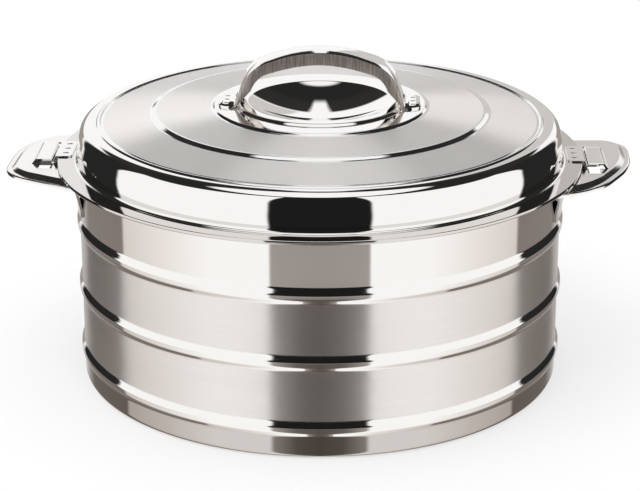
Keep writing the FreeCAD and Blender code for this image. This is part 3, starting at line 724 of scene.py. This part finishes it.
# lid: flange with a rolled edge, dome, stepped rings and finger bowl
lid = {
    "sheet": 0.7, "flange": 141.0, "edgeLow": 118.6, "flangeTop": 120.4, "edgeWidth": 1.1,
    "dome": 130.5, "domeFoot": 2.0, "crownStart": 127.5, "crownRound": 30.0, "crownLean": 13.0,
    "shoulderTop": 140.2, "ringEdge": 120.0,
    "outerRing": (117.3, 140.2, 90.5, 144.6), "beadRise": 0.7,
    "middleRing": (88.5, 145.6, 57.4, 147.3), "centreTop": 148.4, "centreEdge": 56.4,
    "crest": (45.0, 38.5, 149.6), "bowlDepth": 8.0, "bowlSteps": 14, "lineShare": 0.65,
}


def makeLid():
    s = lid
    t = s["sheet"]
    innerEdge = s["flange"] - s["edgeWidth"]
    under = s["flangeTop"] - t
    ringOut, ringOutZ, ringIn, ringInZ = s["outerRing"]
    midOut, midOutZ, midIn, midInZ = s["middleRing"]
    crestOut, crestIn, crestTop = s["crest"]
    # the dome's side leans in a little before its shoulder turns over
    ringEdge = s["ringEdge"]
    lean = math.radians(s["crownLean"])
    shoulderEdge = s["dome"] - (s["shoulderTop"] - s["crownStart"]) * math.tan(lean)
    shoulder = (shoulderEdge - ringEdge) / math.tan((math.pi / 2 - lean) / 2)
    bowlLow = s["centreTop"] - s["bowlDepth"]
    span = crestTop - bowlLow
    bowlRadius = (crestIn ** 2 + span ** 2) / (2 * span)
    top = [
        (s["flange"], s["edgeLow"], 0.5), (s["flange"], s["flangeTop"], 0.55),
        (s["dome"], s["flangeTop"], s["domeFoot"]),
        (s["dome"], s["crownStart"], s["crownRound"]), (shoulderEdge, s["shoulderTop"], shoulder),
        (ringEdge - 0.2, s["shoulderTop"], 0.5),
        (ringEdge - 0.9, s["shoulderTop"] + s["beadRise"], 1.0),
        (ringEdge - 2.2, s["shoulderTop"] + s["beadRise"], 1.0),
        (ringOut, ringOutZ, 0.5),
        (ringIn, ringInZ, 0.7), (midOut, midOutZ, 0.7),
        (midIn, midInZ, 0.4), (s["centreEdge"], s["centreTop"], 0.5),
        (crestOut + 0.6, s["centreTop"], 1.2), (crestOut - 1.6, crestTop, 1.6),
    ]
    for step in range(s["bowlSteps"] + 1):
        r = crestIn * (1 - step / s["bowlSteps"])
        z = bowlLow + bowlRadius - math.sqrt(bowlRadius ** 2 - r ** 2)
        top.append((r, z, 1.6 if step == 0 else 0.0))
    inside = [
        (0.0, bowlLow - t, 0.0), (crestIn * 0.5, bowlLow - t + 2.2, 3.0), (crestIn, crestTop - t, 2.0),
        (crestOut, s["centreTop"] - t, 1.0), (s["centreEdge"], s["centreTop"] - t, 0.3),
        (midIn, midInZ - t, 0.3), (midOut, midOutZ - t, 0.5), (ringIn, ringInZ - t, 0.5),
        (ringOut, ringOutZ - t, 0.4), (shoulderEdge - t, s["shoulderTop"] - t, shoulder - t),
        (s["dome"] - t, s["crownStart"], s["crownRound"]),
        (s["dome"] - t, under, s["domeFoot"]), (innerEdge, under, 0.2), (innerEdge, s["edgeLow"], 0.4),
    ]
    corners = list(reversed(top)) + list(reversed(inside))
    piece = spinPiece("lidDome", corners, False, s["lineShare"])
    return place(piece, "lid", steelLid, "lid_steel", "lid_shell")


makeLid()

# inner pan of the lid
lining = {
    "radius": 113.5, "floor": 111.0, "corner": 5.0, "sheet": 0.7, "hole": 6.0,
    "edge": 139.6, "rim": 119.0,
}


def makeLining():
    s = lining
    top = s["floor"] + s["sheet"]
    inner = s["radius"] - s["sheet"]
    corners = [
        (s["hole"], s["floor"], 0.2), (s["radius"], s["floor"], s["corner"]), (s["radius"], s["rim"], 0.3),
        (s["edge"], s["rim"], 0.2), (s["edge"], s["rim"] + s["sheet"], 0.2),
        (inner, s["rim"] + s["sheet"], 0.3), (inner, top, s["corner"] - s["sheet"]), (s["hole"], top, 0.2),
    ]
    return place(spinPiece("lidLining", corners), "lid", steelPan, "bowl_steel", "lid_lining")


makeLining()

# strap of the lid: a pressed channel with its long edges turned down and a welded pad at each end
strap = {
    "pad": 54.0, "padTop": 149.8, "padCorner": 6.0, "legFoot": 45.2, "footBend": 1.0,
    "shoulder": (38.0, 169.3, 20.0), "crown": (0.0, 182.16, 74.6),
    "width": 26.0, "waist": 18.0, "sheet": 1.4, "roll": 1.0, "innerRoll": 0.4,
    "legEdge": 5.5, "crownEdge": 6.6, "edgeStart": 150.2, "edgeFull": 157.0, "crownTop": 178.0,
    "welds": (-6.5, 0.0, 6.5), "weldX": 49.8, "weldRadius": 1.3, "weldDepth": 0.4,
    "fineness": 4, "lineShare": 0.75, "padTurns": (20, 40, 60, 80),
}


def easeIn(value, low, high):
    share = min(max((value - low) / (high - low), 0.0), 1.0)
    return share * share * (3 - 2 * share)


def strapOutline(centre, normal):
    # the channel's section, from one lower edge over the rolled top to the other, then inside
    s = strap
    sheet, roll = s["sheet"], s["roll"]
    reach = min(abs(centre.x) / s["legFoot"], 1.0)
    half = (s["waist"] + (s["width"] - s["waist"]) * reach ** 2) / 2
    short = s["padCorner"] - (s["pad"] - abs(centre.x))
    if short > 0:
        half += math.sqrt(s["padCorner"] ** 2 - short ** 2) - s["padCorner"]
    upward = easeIn(centre.y, s["shoulder"][1], s["crownTop"])
    full = s["legEdge"] + (s["crownEdge"] - s["legEdge"]) * upward
    depth = sheet + (full - sheet) * easeIn(centre.y, s["edgeStart"], s["edgeFull"])
    inner = min(s["innerRoll"], depth - sheet)
    line = [(half, -depth), (half, -roll), (half - 0.3 * roll, -0.3 * roll), (half - roll, 0.0)]
    inside = [(half - sheet - inner, -sheet), (half - sheet, -sheet - inner), (half - sheet, -depth)]
    line = [(-u, v) for u, v in line] + line[::-1] + inside[::-1] + [(-u, v) for u, v in inside]
    return [Vector((centre.x + normal.x * v, u, centre.y + normal.y * v)) * mm for u, v in line]


def makeStrap():
    s = strap
    half = [(s["pad"], s["padTop"], 0.0), (s["legFoot"], s["padTop"], s["footBend"]), s["shoulder"]]
    corners = half + [s["crown"]] + [(-x, z, rounding) for x, z, rounding in half[::-1]]
    path = roundOff(corners, False, s["fineness"], s["lineShare"])
    padSteps = [s["pad"] - s["padCorner"] * (1 - math.cos(math.radians(turn))) for turn in s["padTurns"]]
    path[1:1] = [Vector((x, s["padTop"])) for x in padSteps]
    path[-1:-1] = [Vector((-x, s["padTop"])) for x in padSteps[::-1]]
    outlines = []
    for index, here in enumerate(path):
        along = path[min(index + 1, len(path) - 1)] - path[max(index - 1, 0)]
        along.normalize()
        outlines.append(strapOutline(here, Vector((along.y, -along.x))))
    piece = sweepPiece("lidStrap", outlines)
    welds = [(side * s["weldX"], y, s["padTop"]) for side in (1, -1) for y in s["welds"]]
    weldDimples(piece, welds, s["weldRadius"], s["weldDepth"])
    return place(smooth(piece), "lid", steelStrap, "polished_steel", "lid_handle")


makeStrap()

# lock tongues with three spot welds each
tab = {
    "top": 121.2, "weldX": 136.6, "welds": (-8.0, 0.0, 8.0), "weldRadius": 1.7, "weldDepth": 0.35,
    "edge": 0.15, "smoothAngle": 20,
}


def makeTab(side, turn):
    s = tab
    piece = sheetPiece(f"lockTongue_{side}", f"lock_tab_{side}", s["edge"])
    welds = [(turn * s["weldX"], y, s["top"]) for y in s["welds"]]
    weldDimples(piece, welds, s["weldRadius"], s["weldDepth"])
    smooth(piece, s["smoothAngle"])
    return place(piece, "lid", steelPressed, "polished_steel", f"lock_tab_{side}")


makeTab("right", 1)
makeTab("left", -1)

# side handles: a pressed plate with a low shelf, a sloped step, a raised panel and the lock pocket;
# each plan is in the handle's own frame, x outwards, with a rounding at each corner
handle = {
    "edgeLow": 113.8, "shelfTop": 115.4, "panelTop": 117.4, "sheet": 1.0, "shelf": 3.0, "slope": 38.0,
    "edgeRound": 1.1, "panelRound": 0.9, "hold": 0.1, "wall": 130.2,
    "right": (
        (118.0, 40.2, 0.0), (168.5, 42.3, 15.0), (168.5, -1.5, 80.0), (148.0, -42.5, 45.0),
        (118.0, -57.5, 0.0),
    ),
    "left": (
        (118.0, 56.3, 0.0), (168.5, 28.0, 26.0), (167.0, -14.0, 60.0), (157.0, -38.0, 24.0),
        (118.0, -51.0, 0.0),
    ),
    "fineness": 3, "edgeTurns": (0, 30, 60, 90), "wallCut": 20.0,
}
lockPocket = {
    "inner": 143.5, "outer": 151.7, "foot": 154.1, "top": 120.3, "near": -14.5, "far": 15.1,
    "slotEnd": 149.5, "slotNear": -23.0, "slotFar": 23.6, "cutLow": 112.0, "cutHeight": 8.0,
    "edge": 0.35, "edgeBand": 0.05, "edgeAngle": 0.3,
}


def insetTop(steps):
    for inward, upward in steps:
        bpy.ops.mesh.inset(thickness=inward * mm, depth=upward * mm)


def chooseFace(test):
    shape = bmesh.from_edit_mesh(bpy.context.object.data)
    bpy.ops.mesh.select_all(action="DESELECT")
    for face in shape.faces:
        if test(face):
            face.select_set(True)
    bmesh.update_edit_mesh(bpy.context.object.data)


def makePlate(side, turn):
    s = handle
    outline = roundOff(s[side], True, s["fineness"])
    points = [Vector((turn * x, turn * y, s["edgeLow"])) * mm for x, y in outline]
    edge = s["edgeRound"]
    piece = prism(f"sideHandle_{side}", points, (0, 0, (s["shelfTop"] - edge - s["edgeLow"]) * mm))
    bpy.ops.object.mode_set(mode="EDIT")
    bpy.ops.mesh.select_mode(type="FACE")
    slope = math.radians(s["slope"])
    rise = s["panelTop"] - s["shelfTop"]
    run = rise / math.tan(slope)
    curve = s["panelRound"]
    reach = curve * math.tan(slope / 2)
    quarter = [math.radians(turned) for turned in s["edgeTurns"]]
    steps = [
        (edge * (math.cos(a) - math.cos(b)), edge * (math.sin(b) - math.sin(a)))
        for a, b in zip(quarter, quarter[1:])
    ]
    steps += [(s["hold"], 0.0), (s["shelf"] - edge - 2 * s["hold"], 0.0), (s["hold"], 0.0)]
    steps += [(run - reach * math.cos(slope), rise - reach * math.sin(slope))]
    steps += [
        (curve * (math.sin(a) - math.sin(b)), curve * (math.cos(b) - math.cos(a)))
        for a, b in ((slope, slope / 2), (slope / 2, 0.0))
    ]
    steps += [(s["hold"], 0.0)]
    chooseFace(lambda face: face.normal.z > 0.9)
    insetTop(steps)
    under = s["shelf"] + s["sheet"] * math.tan(math.radians(90 - s["slope"]) / 2) - s["sheet"]
    chooseFace(lambda face: face.normal.z < -0.9)
    insetTop([
        (s["sheet"], 0.0), (0.02, -(s["shelfTop"] - s["sheet"] - s["edgeLow"])), (under, 0.0),
        (run, -rise),
    ])
    bpy.ops.mesh.select_mode(type="VERT")
    bpy.ops.object.mode_set(mode="OBJECT")
    return piece


def makePocket(piece, turn):
    s = lockPocket
    sheet = handle["sheet"]
    under = handle["panelTop"] - sheet
    footInner = s["foot"] - sheet
    stop = s["far"] - sheet

    def flat(corners, level):
        return [Vector((turn * x, turn * y, level)) * mm for x, y in corners]

    def upright(corners, y):
        return [Vector((turn * x, turn * y, z)) * mm for x, z in corners]

    opening = [
        (s["inner"], s["slotNear"]), (s["slotEnd"], s["slotNear"]), (s["slotEnd"], s["near"]),
        (footInner, s["near"]), (footInner, stop), (s["slotEnd"], stop), (s["slotEnd"], s["slotFar"]),
        (s["inner"], s["slotFar"]),
    ]
    cut = prism("opening", flat(opening, s["cutLow"]), (0, 0, s["cutHeight"] * mm))
    combine(piece, cut, "DIFFERENCE")
    outside = [
        (s["foot"], under), (s["foot"], handle["panelTop"]), (s["outer"], s["top"]), (s["inner"], s["top"])
    ]
    roof = [(s["inner"], s["top"] - sheet), (s["outer"] - sheet / 2, s["top"] - sheet), (footInner, under)]
    length = (0, turn * (stop - s["near"]) * mm, 0)
    combine(piece, prism("roof", upright(roof + outside, s["near"]), length), "UNION")
    end = [(s["inner"], under)] + outside
    combine(piece, prism("stop", upright(end, stop), (0, turn * sheet * mm, 0)), "UNION")
    bpy.ops.object.mode_set(mode="EDIT")
    bpy.ops.mesh.select_mode(type="EDGE")
    bpy.ops.mesh.select_all(action="DESELECT")
    shape = bmesh.from_edit_mesh(piece.data)
    for edge in shape.edges:
        high = all(corner.co.z > (s["top"] - s["edgeBand"]) * mm for corner in edge.verts)
        if high and len(edge.link_faces) == 2 and edge.calc_face_angle() > s["edgeAngle"]:
            edge.select_set(True)
    bmesh.update_edit_mesh(piece.data)
    bpy.ops.mesh.bevel(offset=s["edge"] * mm, segments=1)
    bpy.ops.mesh.select_mode(type="VERT")
    bpy.ops.object.mode_set(mode="OBJECT")


def makeHandle(side, turn):
    piece = makePlate(side, turn)
    deselectAll()
    s = handle
    bpy.ops.mesh.primitive_cylinder_add(
        vertices=spinSteps, radius=s["wall"] * mm, depth=s["wallCut"] * mm,
        location=(0, 0, s["shelfTop"] * mm),
    )
    combine(piece, bpy.context.object, "DIFFERENCE")
    makePocket(piece, turn)
    report(smooth(piece))
    return place(piece, "casserole", steelPressed, "polished_steel", f"side_handle_{side}")


makeHandle("right", 1)
makeHandle("left", -1)

# the brackets and both foam cores keep the solids' own meshes
for name, material in (
    ("handle_bracket_right", steelPressed), ("handle_bracket_left", steelPressed),
    ("body_insulation", foamRigid), ("lid_insulation", foamRigid),
):
    dress(nodes[name], material)
print("pieces made")

# studio: white world, pale floor, dark and grey cards that only the metal sees;
# a row of cards has a tint at each share of the way from the front (0) round to the back (1),
# and the rows give way to each other at elevations in degrees
studio = {
    "cardRadius": 2.5, "turn": 1.8, "floorSize": 12.0, "floorGrey": 0.95, "floorGlow": 0.55,
    "low": (
        (0.0, 0.34, 0.31, 0.29), (0.124, 0.36, 0.33, 0.31), (0.129, 1, 1, 1), (0.28, 1, 0.995, 0.99),
        (0.42, 0.86, 0.82, 0.79), (0.57, 0.70, 0.65, 0.62), (0.58, 0.23, 0.2, 0.185),
        (0.78, 0.24, 0.215, 0.2), (0.88, 0.7, 0.68, 0.66), (1.0, 0.9, 0.89, 0.88),
    ),
    "near": (
        (0.0, 0.1, 0.085, 0.075), (0.06, 0.13, 0.11, 0.1), (0.118, 0.33, 0.3, 0.28), (0.129, 1, 1, 1),
        (0.28, 1, 0.995, 0.99), (0.42, 0.8, 0.76, 0.73), (0.57, 0.62, 0.57, 0.54),
        (0.58, 0.19, 0.165, 0.15), (0.78, 0.2, 0.18, 0.165), (0.88, 0.6, 0.58, 0.56),
        (1.0, 0.8, 0.79, 0.78),
    ),
    "high": (
        (0.0, 0.012, 0.012, 0.012), (0.124, 0.012, 0.012, 0.012), (0.13, 1, 1, 1), (0.57, 1, 1, 1),
        (0.58, 0.02, 0.02, 0.02), (0.78, 0.02, 0.02, 0.02), (0.8, 1, 1, 1), (1.0, 1, 1, 1),
    ),
    "over": (
        (0.0, 0.012, 0.012, 0.012), (0.2, 0.02, 0.02, 0.02), (0.982, 0.03, 0.028, 0.026),
        (0.988, 1, 1, 1), (1.0, 1, 1, 1),
    ),
    "nearToLow": (-19.2, -18.4), "lowToHigh": (-16.2, -15.9), "overToDark": (42.0, 50.0),
    "darkToOverhead": (63.0, 66.0), "dark": (0.02, 0.02, 0.02, 1.0), "white": (1.0, 1.0, 1.0, 1.0),
    "boxTop": (25.0, 105.0, 57.0, 38.0), "boxTopBehind": (120.0, 160.0, 0.0, 11.0), "boxFade": 3.0,
    "behindAt": (147.0, 164.0, 3.0), "behindFrom": (-16.0, -15.0), "behindTo": (6.0, 10.0),
    "behindGrey": (0.34, 0.31, 0.29, 1.0),
    "rightAt": (160.0, 174.0, 1.5), "rightHeight": (0.0, 26.0, 2.0), "rightGrey": (0.62, 0.6, 0.585, 1.0),
    "lampPlace": (-0.5, -0.6, 1.6), "lampAim": (0.0, 0.0, 0.08), "lampSize": 1.0, "lampPower": 6.0,
}


def makeWorld():
    world = bpy.data.worlds.new("studioWorld")
    bpy.context.scene.world = world
    world.use_nodes = True
    paint = Paint("world", world.node_tree)
    light = paint.node("ShaderNodeBackground", None, {"Color": studio["white"], "Strength": 1.0})
    paint.node("ShaderNodeOutputWorld", None, {"Surface": light.outputs[0]})


def makeFloor():
    s = studio
    deselectAll()
    bpy.ops.mesh.primitive_plane_add(size=s["floorSize"], location=(0, 0, 0))
    floor = bpy.context.object
    floor.name = "studioFloor"
    paint = Paint("floorWhite")
    grey = (s["floorGrey"], s["floorGrey"], s["floorGrey"], 1.0)
    matt = paint.node("ShaderNodeBsdfDiffuse", None, {"Color": grey})
    glow = paint.node("ShaderNodeEmission", None, {"Color": s["white"], "Strength": 1.0})
    ray = paint.node("ShaderNodeLightPath")
    seen = paint.value(ray.outputs["Is Camera Ray"]) * s["floorGlow"]
    dress(floor, paint.finish(mixShader(paint, seen, matt.outputs[0], glow.outputs[0])))
    floor.visible_glossy = False


def makeCards():
    s = studio
    deselectAll()
    bpy.ops.mesh.primitive_uv_sphere_add(segments=64, ring_count=32, radius=s["cardRadius"])
    cards = bpy.context.object
    cards.name = "studioCards"
    paint = Paint("cardGrey")
    x, y, z, vector = paint.place()
    # azimuth in degrees, 0 towards the camera, positive to the right; elevation in degrees
    azimuth = x.math("ARCTAN2", y * -1.0) * (180.0 / math.pi) - s["turn"]
    flat = (x * x + y * y) ** 0.5
    elevation = z.math("ARCTAN2", flat) * (180.0 / math.pi)
    side = azimuth.math("ABSOLUTE")
    low, near, high, over = [paint.ramp(side / 180.0, s[row]) for row in ("low", "near", "high", "over")]
    # above the side softboxes it is dark, with a narrow bright strip straight behind
    over = paint.mixColour(elevation.rise(*s["overToDark"]), over, s["dark"])
    boxTop = side.rise(*s["boxTop"]) - side.rise(*s["boxTopBehind"])
    behind = side.band(*s["behindAt"]) * (1 - elevation.rise(*s["behindTo"]))
    behind = behind * elevation.rise(*s["behindFrom"])
    right = azimuth.band(*s["rightAt"]) * elevation.band(*s["rightHeight"])
    lit = paint.mixColour(elevation.rise(*s["nearToLow"]), near, low)
    lit = paint.mixColour(elevation.rise(*s["lowToHigh"]), lit, high)
    lit = paint.mixColour(behind, lit, s["behindGrey"])
    lit = paint.mixColour(right, lit, s["rightGrey"])
    lit = paint.mixColour((elevation - boxTop).rise(0.0, s["boxFade"]), lit, over)
    lit = paint.mixColour(elevation.rise(*s["darkToOverhead"]), lit, s["white"])
    glow = paint.node("ShaderNodeEmission", None, {"Color": lit, "Strength": 1.0})
    dress(cards, paint.finish(glow.outputs[0]))
    cards.visible_camera = False
    cards.visible_diffuse = False
    cards.visible_shadow = False
    cards.visible_transmission = False


def lookAt(thing, location, aim):
    thing.location = location
    thing.rotation_mode = "QUATERNION"
    thing.rotation_quaternion = (Vector(aim) - Vector(location)).to_track_quat("-Z", "Y")


def makeLamp():
    s = studio
    lampData = bpy.data.lights.new("overheadLamp", "AREA")
    lampData.size = s["lampSize"]
    lampData.energy = s["lampPower"]
    lamp = bpy.data.objects.new("overheadLamp", lampData)
    bpy.context.scene.collection.objects.link(lamp)
    lookAt(lamp, s["lampPlace"], s["lampAim"])
    lamp.visible_glossy = False


makeWorld()
makeFloor()
makeCards()
makeLamp()

# camera at the photograph's place, in mm
view = {
    "place": (35.3, -1124.2, 480.5), "aim": (0.0, 0.0, 66.7), "lens": 122.85, "sensor": 36.0,
    "clip": (0.01, 50.0),
}
cameraData = bpy.data.cameras.new("photoCamera")
cameraData.lens = view["lens"]
cameraData.sensor_width = view["sensor"]
cameraData.clip_start, cameraData.clip_end = view["clip"]
camera = bpy.data.objects.new("photoCamera", cameraData)
bpy.context.scene.collection.objects.link(camera)
lookAt(camera, Vector(view["place"]) * mm, Vector(view["aim"]) * mm)
bpy.context.scene.camera = camera
bpy.context.scene.view_settings.view_transform = "Standard"
print("studio and camera ready")
